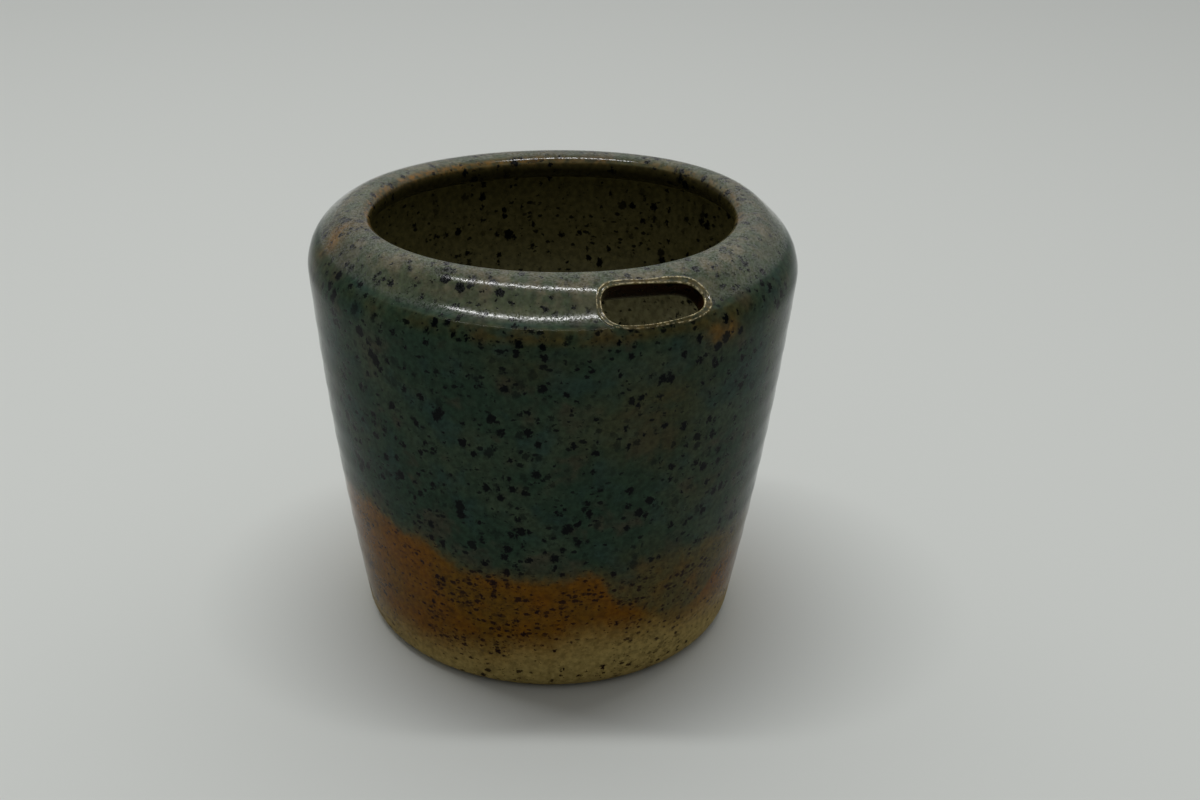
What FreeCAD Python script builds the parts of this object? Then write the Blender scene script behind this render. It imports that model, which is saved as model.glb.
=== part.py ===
import FreeCAD, Part
import math
import os

from FreeCAD import Vector

# Hand-thrown stoneware travel tumbler: one piece of clay with a tapered wall, a turned-in
# shoulder, a rolled lip round an open mouth, and a drinking slot cut through the shoulder.
# It stands on Z = 0 with its axis on Z, and the slot faces -Y.
# Driving sizes, in millimetres and degrees.

# Heights and widths of the outside
overall_height = 88.4         # table to the top of the lip
mouth_radius = 34.8           # clear opening
shoulder_width = 12.2         # mouth's edge to the crease, level
shoulder_drop = 5.0           # top of the lip to the crease
belly_swell = 1.45            # how far the widest part stands out past the crease
belly_drop = 5.8              # crease to the widest part
foot_radius = 38.9            # where the wall would meet the table, before the edge is rounded
wall_bulge = 0.9              # how far the wall swells from a straight cone

# Lip and shoulder
lip_round = 2.75              # half the thickness of the rolled lip
brow_width = 6.3              # mouth's edge to the brow, where the lip rolls into the shoulder
brow_drop = 1.3               # top of the lip to the brow
under_lip_round = 2.5
crease_round = 1.0

# Thickness of the clay
shoulder_thickness = 4.4      # as the cut face of the slot shows it
wall_thickness = 4.5          # at the widest part
foot_wall_thickness = 5.4     # at the floor
floor_thickness = 6.0         # table to the edge of the inside floor
floor_dish = 0.8              # how far the inside floor sinks towards its middle
inner_shoulder_round = 5.0
inner_floor_round = 9.0

# Trimmed underside
foot_edge_round = 3.9
foot_ring_width = 5.5         # flat ring that stands on the table
base_recess = 1.3             # depth of the trimmed hollow inside the ring
recess_slope = 1.6            # run of the bevel from the ring to the hollow

# Drinking slot, measured on the shoulder
slot_direction = -90.0        # angle of its middle about Z
slot_length = 19.2            # along the shoulder, end to end
slot_width = 6.7              # up the shoulder
slot_above_crease = 0.9       # crease to its lower edge
slot_end_round = 2.9
slot_rim_round = 0.6          # wiped outer edge
slot_inner_round = 0.5

AXIS = Vector(0, 0, 1)
ORIGIN = Vector(0, 0, 0)
MATCH = 0.01                  # how near two places must be to count as the same
SLAB = Vector(0, 1, 0)        # thickness of the slice whose corners are rounded


def section_point(radius, height):
    """A point of the half section, which lies in the plane of X and Z."""
    return Vector(radius, 0, height)


def bowed_arc(start, end, bow):
    """The arc from start to end whose middle stands off their chord by bow, to its right."""
    along = end - start
    right = Vector(along.z, 0, -along.x).normalize()
    return Part.Arc(start, (start + end) * 0.5 + right * bow, end).toShape()


def tangent_arc(start, direction, end):
    """The arc from start to end that leaves start along direction."""
    along = end - start
    right = Vector(along.z, 0, -along.x)
    turn = math.atan2(direction.dot(right), direction.dot(along))
    return bowed_arc(start, end, along.Length / 2 * math.tan(turn / 2))


def end_direction(edge):
    """The direction in which an edge arrives at its end."""
    return edge.tangentAt(edge.LastParameter)


# Corners of the outside, from the lip down to the table
lip_top = section_point(mouth_radius + lip_round, overall_height)
brow = section_point(mouth_radius + brow_width, overall_height - brow_drop)
crease = section_point(mouth_radius + shoulder_width, overall_height - shoulder_drop)
belly = crease + section_point(belly_swell, -belly_drop)
foot_corner = section_point(foot_radius, 0)

# Directions of the shoulder: up its slope, and square out of the clay
up_slope = (brow - crease).normalize()
out_of_clay = Vector(up_slope.z, 0, -up_slope.x)

# Inside of the shoulder, one thickness below the chord of its outside
inner_crease = crease - out_of_clay * shoulder_thickness
inner_wall_shift = (belly.x - wall_thickness - inner_crease.x) / up_slope.x
inner_shoulder = inner_crease + up_slope * inner_wall_shift

# Rolled lip, and where it runs into the inside of the shoulder
lip_centre = lip_top - AXIS * lip_round
lip_side = lip_centre - section_point(lip_round, 0)
lip_depth = (inner_crease - lip_centre).dot(out_of_clay)
lip_reach = math.sqrt(lip_round ** 2 - lip_depth ** 2)
under_lip = lip_centre + out_of_clay * lip_depth - up_slope * lip_reach

# Inside floor, as wide as the leaning wall leaves it at its own height
wall_lean = (belly.x - foot_corner.x) / belly.z
inner_foot_radius = foot_radius + wall_lean * floor_thickness - foot_wall_thickness
inner_foot = section_point(inner_foot_radius, floor_thickness)
floor_middle = section_point(0, floor_thickness - floor_dish)

# Foot ring, which starts where the rounded edge leaves the table
foot_edge_run = foot_edge_round * math.tan((math.pi / 2 - math.atan(wall_lean)) / 2)
ring_inside = section_point(foot_radius - foot_edge_run - foot_ring_width, 0)
recess_corner = section_point(ring_inside.x - recess_slope, base_recess)
recess_middle = section_point(0, base_recess)

# Drinking slot: the strip of the section that it takes away, and the angle that it covers
slot_low = crease + up_slope * slot_above_crease
slot_high = slot_low + up_slope * slot_width
slot_reach = 2 * shoulder_thickness
slot_span = math.degrees(slot_length / ((slot_low.x + slot_high.x) / 2))


def half_section():
    """The closed outline of the clay on one side of the axis."""
    wall = bowed_arc(foot_corner, belly, wall_bulge)
    lip_outside = tangent_arc(lip_top, Vector(1, 0, 0), brow)
    edges = [
        Part.makeLine(recess_middle, recess_corner),
        Part.makeLine(recess_corner, ring_inside),
        Part.makeLine(ring_inside, foot_corner),
        wall,
        tangent_arc(belly, end_direction(wall), crease),
        tangent_arc(brow, end_direction(lip_outside), crease),
        lip_outside,
        Part.Arc(lip_top, lip_side, under_lip).toShape(),
        Part.makeLine(under_lip, inner_shoulder),
        bowed_arc(inner_foot, inner_shoulder, wall_bulge),
        Part.makeLine(inner_foot, floor_middle),
        Part.makeLine(floor_middle, recess_middle),
    ]
    return Part.Face(Part.Wire(Part.sortEdges(edges)[0]))


def rounded_section():
    """The half section with its corners rounded, by fillets along a thin slice of the clay."""
    corner_rounds = (
        (foot_corner, foot_edge_round),
        (crease, crease_round),
        (under_lip, under_lip_round),
        (inner_shoulder, inner_shoulder_round),
        (inner_foot, inner_floor_round),
    )
    piece = half_section().extrude(SLAB)
    for corner, radius in corner_rounds:
        across = [
            edge
            for edge in piece.Edges
            if all((point.Point - corner).cross(SLAB).Length < MATCH for point in edge.Vertexes)
        ]
        piece = piece.makeFillet(radius, across)
    return next(face for face in piece.Faces if abs(face.CenterOfMass.y) < MATCH)


def turned_body():
    """The thrown and trimmed pot before its slot is cut."""
    return rounded_section().revolve(ORIGIN, AXIS, 360)


def slot_cutter():
    """A strip square to the shoulder, swept round the axis, with its four end edges rounded."""
    across = out_of_clay * slot_reach
    corners = [slot_low + across, slot_high + across, slot_high - across, slot_low - across]
    strip = Part.Face(Part.makePolygon(corners + corners[:1]))
    strip.rotate(ORIGIN, AXIS, slot_direction - slot_span / 2)
    cutter = strip.revolve(ORIGIN, AXIS, slot_span)
    end_edges = [
        edge
        for edge in cutter.Edges
        if isinstance(edge.Curve, Part.Line) and abs(edge.Length - 2 * slot_reach) < MATCH
    ]
    return cutter.makeFillet(slot_end_round, end_edges)


def slot_rim(solid, depth):
    """The edges of the slot that lie at about one depth under the chord of the shoulder."""
    rim = []
    for edge in solid.Edges:
        middle = edge.valueAt((edge.FirstParameter + edge.LastParameter) / 2)
        turn = math.degrees(math.atan2(middle.y, middle.x)) - slot_direction
        offset = section_point(math.hypot(middle.x, middle.y), middle.z) - crease
        beside_slot = abs(turn) > slot_span or offset.dot(up_slope) < slot_above_crease - MATCH
        if beside_slot or abs(offset.dot(out_of_clay) + depth) > shoulder_thickness / 4:
            continue
        rim.append(edge)
    return rim


def tumbler_body():
    """The whole pot: turned, slotted, and with the edges of the slot wiped round."""
    body = turned_body().cut(slot_cutter())
    body = body.makeFillet(slot_rim_round, slot_rim(body, 0))
    body = body.makeFillet(slot_inner_round, slot_rim(body, shoulder_thickness))
    return body.Solids[0]


os.makedirs("parts", exist_ok=True)
tumbler_body().exportStep("parts/tumbler_body.step")
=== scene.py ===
import math

import bpy
import numpy as np
from mathutils import Matrix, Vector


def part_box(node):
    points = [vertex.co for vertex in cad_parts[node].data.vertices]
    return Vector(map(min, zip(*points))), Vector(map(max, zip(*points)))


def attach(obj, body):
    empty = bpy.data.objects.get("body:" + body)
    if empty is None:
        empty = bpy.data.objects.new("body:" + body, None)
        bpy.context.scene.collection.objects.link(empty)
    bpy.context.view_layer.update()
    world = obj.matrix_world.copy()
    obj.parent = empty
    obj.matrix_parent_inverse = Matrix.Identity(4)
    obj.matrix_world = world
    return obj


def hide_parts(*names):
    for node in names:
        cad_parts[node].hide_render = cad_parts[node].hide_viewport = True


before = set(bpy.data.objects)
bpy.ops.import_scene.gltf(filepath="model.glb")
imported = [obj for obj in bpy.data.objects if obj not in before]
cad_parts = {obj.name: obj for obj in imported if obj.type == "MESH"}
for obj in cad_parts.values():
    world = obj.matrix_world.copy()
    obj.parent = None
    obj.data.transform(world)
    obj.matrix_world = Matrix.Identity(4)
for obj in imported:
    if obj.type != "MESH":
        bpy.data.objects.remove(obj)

# Stoneware travel tumbler: one thrown pot with a rolled lip, a hollowed shoulder and a drinking
# slot, under a green glaze that breaks to amber above a buff foot. The slot faces -Y.

bl_info = {
    "name": "Stoneware travel tumbler",
    "version": (1, 0, 0),
    "blender": (4, 5, 0),
    "location": "View3D > Sidebar > Tumbler",
    "description": "Builds a thrown and glazed travel tumbler with a drinking slot, and its stage",
    "category": "Add Mesh",
}

NODE = "tumbler_body"
SLOT_NAME = "speckled_glaze"
MM = 0.001
LIP_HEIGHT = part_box(NODE)[1].z
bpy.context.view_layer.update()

# The mesh: columns round the axis, and rows along the half section from the middle of the
# underside, over the lip, to the middle of the inside floor
COLUMNS = 420
ARC_STEPS = 400
FINE_STEP = 0.05 * MM
LONGEST_ROW = 2.0 * MM
ROW_TURN = math.radians(7.5)
STRAIGHT = 1e-9
UP = np.array([0.0, 1.0])
ACROSS = np.array([1.0, 0.0])

# The two windows that the grid leaves for the slot: their columns and rows, and how far up the
# shoulder they reach, outside and inside
SLOT_COLUMNS = 44
SLOT_ROWS = 22
FIRST_COLUMN = -SLOT_COLUMNS // 2
WINDOW = (-1.4 * MM, 9.2 * MM)
INNER_WINDOW = (-0.9 * MM, 9.5 * MM)

# How much of the inside wall counts as below the shoulder where places on it are looked up
INNER_WALL_PART = 20 * MM

# The chord of the shoulder, which the slot is measured along, as the construction has it
CHORD_WIDTH = 6.3 * MM
CHORD_DROP = 1.3 * MM

# The photograph looks at the pot from this side; its marks are placed by this turn
PHOTO_TURN = math.radians(24.3)


def from_bytes(red, green, blue):
    """The linear colour that a picker shows as these three bytes."""
    share = np.array([red, green, blue]) / 255
    linear = np.where(share <= 0.04045, share / 12.92, ((share + 0.055) / 1.055) ** 2.4)
    return tuple(float(value) for value in linear)


def length(name, description, millimetres):
    """A property that holds a length, with its default in millimetres."""
    return bpy.props.FloatProperty(
        name=name, description=description, default=millimetres * MM, unit="LENGTH", precision=5
    )


def colour(name, description, *levels):
    """A property that holds a colour, with its default as three bytes."""
    return bpy.props.FloatVectorProperty(
        name=name, description=description, default=from_bytes(*levels),
        subtype="COLOR", size=3, min=0.0, max=1.0,
    )


def number(name, description, default):
    """A property that holds a plain number."""
    return bpy.props.FloatProperty(name=name, description=description, default=default)


class TumblerShape(bpy.types.PropertyGroup):
    """Sizes of the thrown pot: the construction's, but for the brow and the soft roundings."""

    mouth_radius: length("Mouth radius", "Clear opening inside the lip", 34.8)
    lip_round: length("Lip", "Half the thickness of the rolled lip", 2.75)
    brow_width: length("Brow width", "Mouth's edge to the brow, level", 7.6)
    brow_drop: length("Brow drop", "Top of the lip to the brow, at the slot", 2.2)
    full_brow_drop: length("Full brow drop", "Top of the lip to the brow, at the sides", 1.5)
    rear_brow_drop: length("Rear brow drop", "Top of the lip to the brow, at the back", 2.6)
    shoulder_width: length("Shoulder width", "Mouth's edge to the crease, level", 12.2)
    shoulder_drop: length("Shoulder drop", "Top of the lip to the crease", 5.0)
    belly_swell: length("Belly swell", "How far the widest part stands past the crease", 1.45)
    belly_drop: length("Belly drop", "Crease to the widest part", 5.8)
    foot_radius: length("Foot radius", "Where the wall would meet the table", 38.9)
    wall_bulge: length("Wall bulge", "How far the wall swells from a straight cone", 0.9)
    shoulder_clay: length("Shoulder clay", "Thickness of the shoulder", 4.4)
    wall_clay: length("Wall clay", "Thickness at the widest part", 4.5)
    foot_clay: length("Foot clay", "Thickness of the wall at the floor", 5.4)
    floor_clay: length("Floor clay", "Table to the edge of the inside floor", 6.0)
    floor_dish: length("Floor dish", "How far the inside floor sinks to its middle", 0.8)
    ring_inside: length("Ring inside", "Inner radius of the flat foot ring", 29.95)
    recess_slope: length("Recess slope", "Run of the bevel inside the foot ring", 1.6)
    recess_depth: length("Recess depth", "Depth of the trimmed hollow", 1.3)
    foot_reach: length("Foot rounding", "Reach of the rounding at the foot's corner", 3.5)
    crease_reach: length("Crease rounding", "Reach of the rounding at the crease", 0.3)
    soft_crease_reach: length("Soft crease", "Reach of the rounding far from the slot", 3.2)
    recess_reach: length("Recess rounding", "Reach of the roundings under the foot", 0.4)
    under_lip_reach: length("Under-lip rounding", "Reach of the hollow under the lip", 1.3)
    inner_shoulder_reach: length("Inner shoulder rounding", "Reach inside the shoulder", 2.4)
    inner_floor_reach: length("Inner floor rounding", "Reach where wall and floor meet", 8.0)


class SlotShape(bpy.types.PropertyGroup):
    """Sizes of the drinking slot, measured along and up the shoulder."""

    direction: bpy.props.FloatProperty(
        name="Direction", description="Angle of the slot's middle", default=math.radians(-90.0),
        subtype="ANGLE",
    )
    middle: length("Middle", "Crease to the slot's middle, up the shoulder", 3.85)
    drift: length("Drift", "How far the opening sits to one side", 0.5)
    lengthen: number("Length", "Scale of the opening along the shoulder", 1.0)
    widen: number("Width", "Scale of the opening up the shoulder", 1.0)
    edge_round: length("Edge", "Rounding where the shoulder turns into the cut", 0.32)
    rim_width: length("Rim width", "Edge to the ridge round it, at the long sides", 0.66)
    rim_spread: length("Rim spread", "How much wider the rim is at the ends", 0.4)
    rim_drift: length("Rim drift", "How much wider it is at one end than the other", 0.15)
    ridge_height: length("Ridge height", "Height of the ridge that wiping raised", 0.13)
    ridge_width: length("Ridge width", "Half width of that ridge", 0.18)
    # Partly a painted highlight: the pale crest is painted weaker at the long sides than at the
    # ends
    crest_and_glint_sides: number("Crest at the sides", "Strength of the pale crest at the long sides", 0.72)
    apron: length("Apron", "Width of the strip beyond the ridge that turns with it", 0.6)
    inner_round: length("Inner rim", "Rounding of the inner edge", 1.5)


class HandMarks(bpy.types.PropertyGroup):
    """How far the hand-made form strays from a turned one."""

    ring_height: length("Ring height", "Height of the throwing rings inside", 0.16)
    ring_spacing: length("Ring spacing", "Height of one turn of the throwing rings", 6.5)
    wall_ring_height: length("Outer ring height", "Height of the faint rings outside", 0.05)


class GlazeColours(bpy.types.PropertyGroup):
    """Colours of the glaze, the clay and the iron specks, and of the painted shade and painted
    highlight.
    """

    deep_green: colour("Deep green", "Thick glaze on the wall", 40, 59, 45)
    grey_green: colour("Grey green", "Glaze where it is thinner", 78, 84, 62)
    blue_green: colour("Blue green", "Cloudy blue in the thick glaze", 40, 61, 55)
    brown_green: colour("Brown green", "Brownish drifts in the thick glaze", 63, 60, 47)
    olive: colour("Olive", "Glaze that breaks over ridges", 66, 62, 34)
    thin_green: colour("Thin green", "Green glaze that ran thin over the amber", 76, 72, 42)
    ochre: colour("Ochre", "Glaze that breaks under the crease", 76, 62, 25)
    warm_grey: colour("Warm grey", "Glaze that thins over the brow and the lip", 104, 96, 76)
    # Painted shade: the inside is painted dark just below the lip's inner edge, where the lip
    # shades it
    under_lip: colour("Under the lip", "Dark glaze below the lip's inner edge", 40, 36, 15)
    # Partly pale glaze over the ridges and partly a painted highlight along the slot's ridge and
    # edge
    crest: colour("Crest", "Pale clay through the glaze on the sharpest ridges", 226, 212, 170)
    tan: colour("Tan", "Wiped edges and thin glaze", 126, 90, 36)
    rim_tan: colour("Rim tan", "Thin glaze on the wiped rim of the slot", 98, 80, 42)
    amber: colour("Amber", "Iron glaze above the foot", 106, 66, 3)
    dull_amber: colour("Dull amber", "Iron glaze where it is thin", 96, 68, 12)
    # Partly dark glaze and partly painted shade, on the cut and round the slot's inside
    cut_face_and_shade: colour("Cut face", "Dark glaze on the cut through the clay", 40, 24, 12)
    buff: colour("Buff", "Clay at the foot", 158, 138, 82)
    inside: colour("Inside", "Glaze of the inside", 160, 157, 126)
    # Painted shade: the inside wall is painted darker high up, below the shoulder
    inside_dark: colour("Inside, high", "Glaze of the inside below the shoulder", 112, 107, 70)
    blue_black: colour("Blue-black specks", "Iron specks in the green", 3, 6, 8)
    maroon: colour("Maroon specks", "Iron specks in the amber", 26, 4, 2)


class StageLook(bpy.types.PropertyGroup):
    """Floor, lamps and camera."""

    floor: colour("Floor", "Paper under the pot", 212, 215, 211)
    overhead_power: number("Overhead power", "Watts of the lamp above", 4.2)
    sky: number("Sky", "Brightness of the room behind and above", 1.12)
    low_sky: number("Low sky", "Share of that brightness near the horizon", 0.3)
    front_shade: number("Front shade", "Brightness of the room on the camera's side", 0.24)
    backdrop: number("Backdrop", "Brightness of the room and far paper to the eye alone", 0.54)


def arc(start, end, bow):
    """Points from start to end on the circle whose middle stands bow to the right of their chord.

    With c half the chord and a = 2 atan(bow / c), the point at a share f from -1 to 1 lies
    c sin(a f) / sin(a) along the chord and c (cos(a f) - cos(a)) / sin(a) to its right.
    """
    chord = end - start
    half = np.hypot(*chord) / 2
    along = chord / (2 * half)
    right = np.array([along[1], -along[0]])
    angle = 2 * math.atan(bow / half) + STRAIGHT
    turn = angle * np.linspace(-1, 1, ARC_STEPS)[:, None]
    beside = (np.cos(turn) - math.cos(angle)) * right
    return (start + end) / 2 + half * (np.sin(turn) * along + beside) / math.sin(angle)


def tangent_bow(start, direction, end):
    """The bow of the arc from start to end that leaves start along direction."""
    along = end - start
    right = np.array([along[1], -along[0]])
    turn = math.atan2(direction @ right, direction @ along)
    return np.hypot(*along) / 2 * math.tan(turn / 2)


def end_direction(points):
    """The direction in which a run of points arrives."""
    step = points[-1] - points[-2]
    return step / np.hypot(*step)


class HalfSection:
    """The rounded outline of the clay, as a function of the length walked along it.

    It runs from the middle of the underside out to the foot, up the wall, over the lip, down the
    inside and back to the axis. Straight and bowed pieces meet at corners, and each corner is
    rounded by a sliding mean of the outline whose half width is that corner's reach. The drop of
    the brow and the reach at the crease are given apart, because they change round the pot.
    """

    def __init__(self, shape, brow_drop, crease_reach):
        height = LIP_HEIGHT
        lip_top = np.array([shape.mouth_radius + shape.lip_round, height])
        brow = np.array([shape.mouth_radius + shape.brow_width, height - brow_drop])
        crease = np.array([shape.mouth_radius + shape.shoulder_width, height - shape.shoulder_drop])
        belly = crease + [shape.belly_swell, -shape.belly_drop]
        foot = np.array([shape.foot_radius, 0.0])
        chord_end = np.array([shape.mouth_radius + CHORD_WIDTH, height - CHORD_DROP])
        self.up_slope = (chord_end - crease) / np.hypot(*(chord_end - crease))
        self.out_of_clay = np.array([self.up_slope[1], -self.up_slope[0]])
        self.crease = crease

        inner_crease = crease - self.out_of_clay * shape.shoulder_clay
        shift = (belly[0] - shape.wall_clay - inner_crease[0]) / self.up_slope[0]
        inner_shoulder = inner_crease + self.up_slope * shift
        lip_centre = lip_top - UP * shape.lip_round
        depth = (inner_crease - lip_centre) @ self.out_of_clay
        reach = math.sqrt(shape.lip_round ** 2 - depth ** 2)
        under_lip = lip_centre + self.out_of_clay * depth - self.up_slope * reach
        lip_chord = under_lip - lip_top
        lip_right = np.array([lip_chord[1], -lip_chord[0]]) / np.hypot(*lip_chord)
        lip_bow = shape.lip_round + (lip_centre - (lip_top + under_lip) / 2) @ lip_right

        lean = (belly[0] - foot[0]) / belly[1]
        inner_foot_radius = foot[0] + lean * shape.floor_clay - shape.foot_clay
        inner_foot = np.array([inner_foot_radius, shape.floor_clay])
        floor_middle = np.array([0.0, shape.floor_clay - shape.floor_dish])
        ring_inside = np.array([shape.ring_inside, 0.0])
        recess_corner = np.array([ring_inside[0] - shape.recess_slope, shape.recess_depth])
        recess_middle = np.array([0.0, shape.recess_depth])

        wall = arc(foot, belly, shape.wall_bulge)
        lip_outside = arc(lip_top, brow, tangent_bow(lip_top, ACROSS, brow))
        hollow = arc(brow, crease, tangent_bow(brow, end_direction(lip_outside), crease))
        pieces = [
            (arc(recess_middle, recess_corner, 0.0), shape.recess_reach),
            (arc(recess_corner, ring_inside, 0.0), shape.recess_reach),
            (arc(ring_inside, foot, 0.0), shape.foot_reach),
            (wall, 0.0),
            (arc(belly, crease, tangent_bow(belly, end_direction(wall), crease)), crease_reach),
            (hollow[::-1], 0.0),
            (lip_outside[::-1], 0.0),
            (arc(lip_top, under_lip, lip_bow), shape.under_lip_reach),
            (arc(under_lip, inner_shoulder, 0.0), shape.inner_shoulder_reach),
            (arc(inner_shoulder, inner_foot, -shape.wall_bulge), shape.inner_floor_reach),
            (arc(inner_foot, floor_middle, 0.0), 0.0),
        ]
        self.follow(pieces)

    def follow(self, pieces):
        """Walks the pieces at an even fine step and rounds the corner at the end of each."""
        points = np.concatenate([piece[0][:-1] for piece in pieces] + [pieces[-1][0][-1:]])
        walked = np.concatenate([[0.0], np.cumsum(np.hypot(*np.diff(points, axis=0).T))])
        self.walk = np.linspace(0.0, walked[-1], int(walked[-1] / FINE_STEP))
        even = np.stack([np.interp(self.walk, walked, points[:, k]) for k in (0, 1)], 1)
        ends = np.cumsum([len(piece[0]) - 1 for piece in pieces])
        self.joins = walked[ends]
        self.ring_walk, self.belly_walk, self.crease_walk = self.joins[[1, 3, 4]]
        self.lip_walk, self.inner_shoulder_walk = self.joins[[6, 8]]
        half = np.full(len(self.walk), FINE_STEP)
        for at, (_, reach) in zip(self.joins, pieces):
            half = np.maximum(half, np.clip(2 * reach - abs(self.walk - at), 0.0, reach))
        half = np.minimum(half, np.minimum(self.walk, self.walk[-1] - self.walk) + STRAIGHT)
        step = self.walk[1]
        middle = (even[1:] + even[:-1]) / 2
        total = np.concatenate([np.zeros((1, 2)), np.cumsum(middle, axis=0) * step])
        ahead = [np.interp(self.walk + half, self.walk, total[:, k]) for k in (0, 1)]
        behind = [np.interp(self.walk - half, self.walk, total[:, k]) for k in (0, 1)]
        self.points = (np.array(ahead) - np.array(behind)).T / (2 * half[:, None])
        self.points[0] = even[0]
        self.points[-1] = even[-1]
        self.slope = (self.points - self.crease) @ self.up_slope
        self.peak = int(np.argmax(self.slope))

    def at(self, walked):
        """Radius and height at lengths walked along the outline."""
        return np.stack([np.interp(walked, self.walk, self.points[:, k]) for k in (0, 1)], -1)

    def matching(self, other, walked):
        """The length walked along the other section to the same share of the same piece."""
        own = np.concatenate([[0.0], self.joins])
        return np.interp(walked, own, np.concatenate([[0.0], other.joins]))

    def slope_at(self, walked):
        """How far up the shoulder a point lies, from the length walked."""
        return np.interp(walked, self.walk, self.slope)

    def outer_walk(self, slope):
        """The length walked to the outside point that lies slope up the shoulder."""
        low = int(np.searchsorted(self.walk, self.belly_walk))
        return np.interp(slope, self.slope[low:self.peak], self.walk[low:self.peak])

    def inner_walk(self, slope):
        """The length walked to the inside point that lies slope up the shoulder."""
        high = int(np.searchsorted(self.walk, self.inner_shoulder_walk + INNER_WALL_PART))
        inner = slice(self.peak, high)
        return np.interp(slope, self.slope[inner][::-1], self.walk[inner][::-1])

    def rows(self, start, end, count=None):
        """Lengths from start to end, closer together where the outline bends.

        The spacing follows the running total of 1 / LONGEST_ROW + bend / ROW_TURN.
        """
        inside = (self.walk > start) & (self.walk < end)
        walk = np.concatenate([[start], self.walk[inside], [end]])
        step = np.diff(self.at(walk), axis=0)
        heading = np.unwrap(np.arctan2(step[:, 1], step[:, 0]))
        bend = np.abs(np.diff(heading, prepend=heading[0]))
        effort = np.diff(walk) / LONGEST_ROW + bend / ROW_TURN
        running = np.concatenate([[0.0], np.cumsum(effort)])
        count = count or int(math.ceil(running[-1]))
        return np.interp(np.linspace(0.0, running[-1], count + 1), running, walk)


def smooth_step(share):
    """0 below 0, 1 above 1, and 3 x^2 - 2 x^3 between."""
    share = np.clip(share, 0.0, 1.0)
    return share * share * (3 - 2 * share)


def between(value, low, high):
    """0 below low, 1 above high, and a smooth step between."""
    return smooth_step((value - low) / (high - low))


def near(value, middle, width):
    """A bell of height 1: exp(-((value - middle) / width)^2)."""
    return np.exp(-((value - middle) / width) ** 2)


# The opening as the knife left it: millimetres from its middle, along and up the shoulder
KNIFE_CUT = (
    (9.85, -0.4), (9.5, 0.75), (8.6, 1.65), (6.9, 2.35), (4.0, 2.9), (0.2, 3.38), (-4.4, 3.7),
    (-7.6, 3.55), (-9.3, 2.85), (-10.1, 1.55), (-10.15, 0.3), (-9.8, -1.0), (-9.0, -2.15),
    (-7.5, -3.0), (-4.9, -3.43), (-1.9, -3.6), (1.3, -3.55), (4.4, -3.4), (6.3, -3.12),
    (8.0, -2.6), (9.3, -1.65),
)
CUT_STEPS = 60

# The rings of points round the slot, from the outside in. The first lie between the window's
# border and the apron.
FIRST_SHARES = np.linspace(0, 1, 6)[1:-1]
# The next cross the apron and then the rim: the share of the width that is left on the way to the
# edge, and how pale the crest is there, pale glaze with a painted highlight
APRON_RINGS = ((1.0, 0.0), (0.7, 0.0), (0.45, 0.0), (0.22, 0.1), (0.1, 0.5))
RIM_RINGS = ((1.0, 1.0), (0.87, 0.3), (0.74, 0.0), (0.55, 0.0), (0.3, 0.0), (0.1, 0.0))
# Then the rings turn over the edge: how pale the crest, pale glaze with a painted highlight, is on
# each
EDGE_CRESTS_AND_GLINTS = (0.3, 0.8, 1.0, 0.4, 0.0, 0.0, 0.0)
# The last go straight down the cut, round its inner edge and out to the inner window. The shares
# say how much of the cut's colour, dark glaze with painted shade, each has.
CUT_SHARES = (1.0, 1.0, 1.0, 1.0, 1.0, 0.85, 0.6, 0.4, 0.3, 0.2, 0.1, 0.0)
CUT_DOWN = np.linspace(0, 1, 6)[1:]
INNER_TURNS = np.linspace(0, math.pi / 2, 5)[1:]
LAST_SHARES = np.linspace(0, 1, 5)[1:-1]
# How many of the rings are glazed as the outside
OUTSIDE_RINGS = 17


def slot_outline(slot, angle):
    """The edge of the opening, as places along and up the shoulder for angles about its middle.

    A closed smooth curve runs through the points of the cut: between two of them, with c0 to c3
    the point before, the two and the point after, it is half of
    2 c1 + (c2 - c0) f + (2 c0 - 5 c1 + 4 c2 - c3) f^2 + (3 c1 - c0 - 3 c2 + c3) f^3.
    """
    cut = np.array(KNIFE_CUT) * [slot.lengthen * MM, slot.widen * MM]
    before, after, beyond = (np.roll(cut, shift, axis=0) for shift in (1, -1, -2))
    share = np.linspace(0, 1, CUT_STEPS, endpoint=False)[:, None, None]
    bend = (2 * before - 5 * cut + 4 * after - beyond) * share ** 2
    twist = (3 * cut - before - 3 * after + beyond) * share ** 3
    curve = (2 * cut + (after - before) * share + bend + twist) / 2
    curve = curve.transpose(1, 0, 2).reshape(-1, 2)
    radius = np.interp(
        angle, np.arctan2(curve[:, 1], curve[:, 0]), np.hypot(*curve.T), period=2 * math.pi
    )
    along, up = radius * np.cos(angle), radius * np.sin(angle)
    return np.stack([slot.drift + along, slot.middle + up], -1)


def outline_normal(outline):
    """The outward normals of a closed outline, from the neighbours of each point."""
    along = np.roll(outline, -1, axis=0) - np.roll(outline, 1, axis=0)
    normal = np.stack([along[:, 1], -along[:, 0]], -1)
    return normal / np.hypot(*normal.T)[:, None]


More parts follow.
